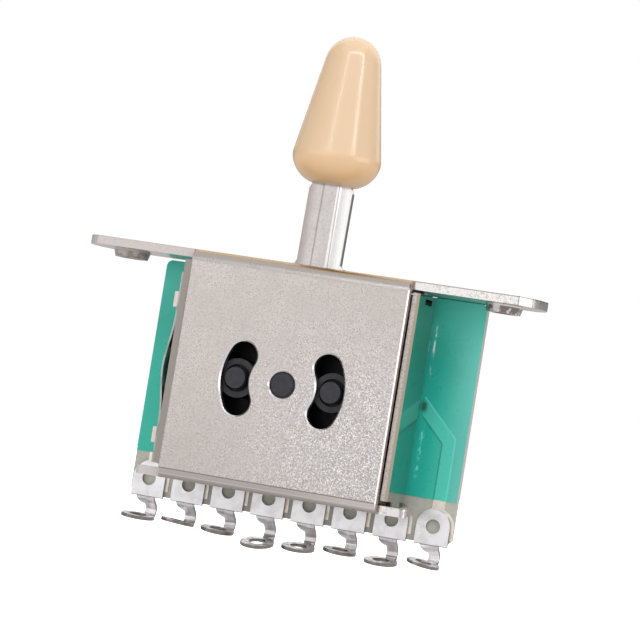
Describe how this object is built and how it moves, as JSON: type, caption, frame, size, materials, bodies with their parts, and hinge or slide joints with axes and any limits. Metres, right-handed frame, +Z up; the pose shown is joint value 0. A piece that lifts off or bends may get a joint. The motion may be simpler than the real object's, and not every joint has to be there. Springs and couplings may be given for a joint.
{
  "type": "guitar pickup selector switch",
  "caption": "Lever-operated selector switch in a bent steel frame with two mounting ears, a tapered knob and a row of solder lugs.",
  "frame": {"origin": "centre of the mounting plate's upper face, midway between the two tapped holes", "axes": "+X along the mounting ears, the face looks towards -Y, +Z up along the lever at its middle position"},
  "size_m": [0.05, 0.0119, 0.055],
  "materials": {
    "plated_steel": "bright plated sheet steel with a fine grain",
    "bracket_steel": "bright plated sheet steel",
    "board_laminate": "bare glass epoxy laminate",
    "green_mask": "green solder mask, semi-gloss",
    "tinned_copper": "tin over copper",
    "lug_metal": "tinned brass sheet",
    "rotor_plastic": "black moulded acetal",
    "lever_steel": "bright plated strip steel",
    "rivet_steel": "steel rivet",
    "knob_plastic": "cream moulded plastic",
    "spring_steel": "spring steel strip",
    "contact_bronze": "phosphor bronze strip"
  },
  "bodies": {
    "housing": {"frame": "plated_steel", "inner_bracket": "bracket_steel", "board": "board_laminate", "solder_mask": "green_mask", "board_tracks": "tinned_copper", "lug_1": "lug_metal", "lug_2": "lug_metal", "lug_3": "lug_metal", "lug_4": "lug_metal", "lug_5": "lug_metal", "lug_6": "lug_metal", "lug_7": "lug_metal", "lug_8": "lug_metal", "detent_spring": "spring_steel"},
    "selector": {"rotor": "rotor_plastic", "lever": "lever_steel", "lever_rivet": "rivet_steel", "knob": "knob_plastic", "wiper_left": "contact_bronze", "wiper_right": "contact_bronze"}
  },
  "joints": [
    {"name": "lever_swing", "type": "hinge", "parent": "housing", "child": "selector", "pos_m": [0, 0, -0.0127], "axis": [0, 1, 0], "range_deg": [-28, 28], "deforming": ["detent_spring"]}
  ]
}
